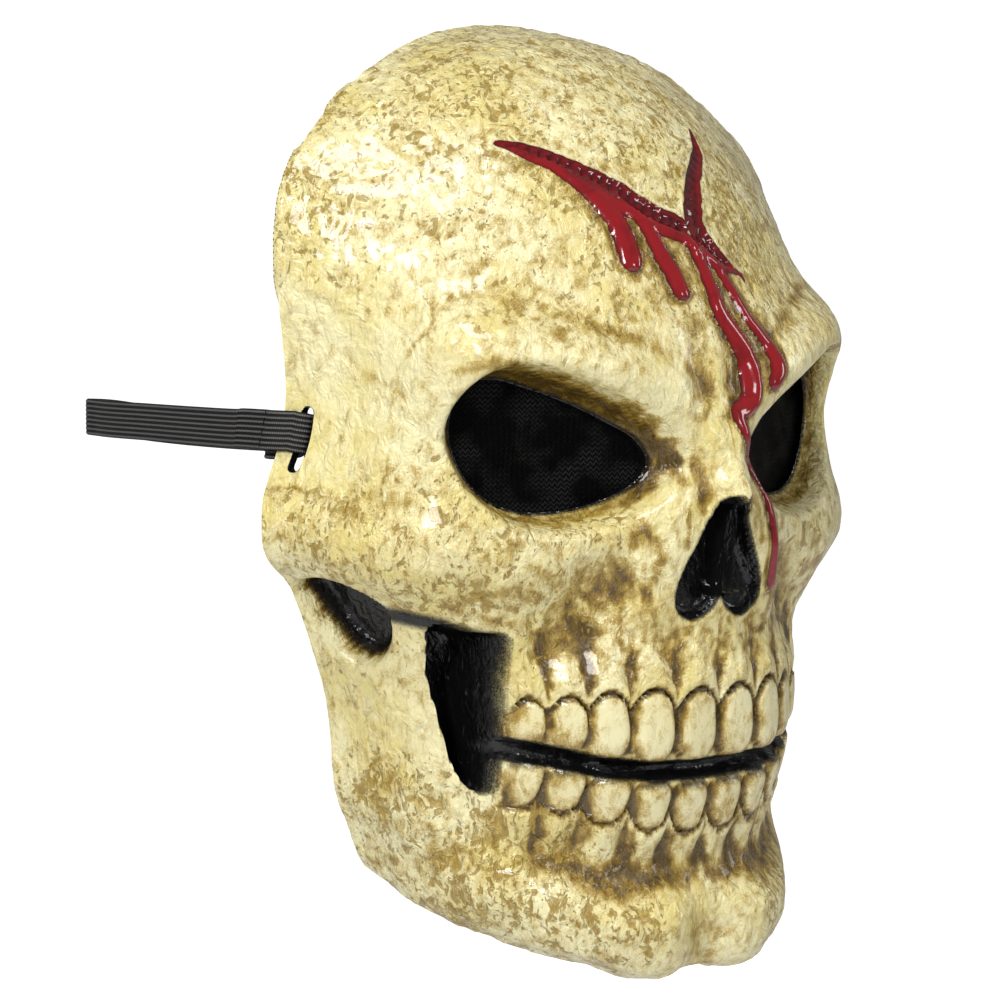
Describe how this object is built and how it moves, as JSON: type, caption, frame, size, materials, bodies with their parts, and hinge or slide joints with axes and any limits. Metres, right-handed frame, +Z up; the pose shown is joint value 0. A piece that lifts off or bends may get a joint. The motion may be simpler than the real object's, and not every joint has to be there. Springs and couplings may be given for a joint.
{
  "type": "skull mask",
  "caption": "Wearable skull face mask in moulded plastic, with a mesh panel behind each eye hole and an elastic strap for the head.",
  "frame": {"origin": "where the mask meets the face: on its middle line, at the height of the eyes, in the plane of its side rims", "axes": "+Z up, the mask's face looks along -Y, the wearer's right side is at -X"},
  "size_m": [0.1921, 0.215, 0.2544],
  "materials": {
    "bone_plastic": "glossy, with a brown wash in the hollows and black and red paint",
    "black_net": "fine knitted net",
    "black_elastic": "ribbed woven elastic"
  },
  "bodies": {
    "root": {"mask_shell": "bone_plastic", "eye_mesh_left": "black_net", "eye_mesh_right": "black_net", "elastic_strap": "black_elastic"}
  },
  "joints": []
}
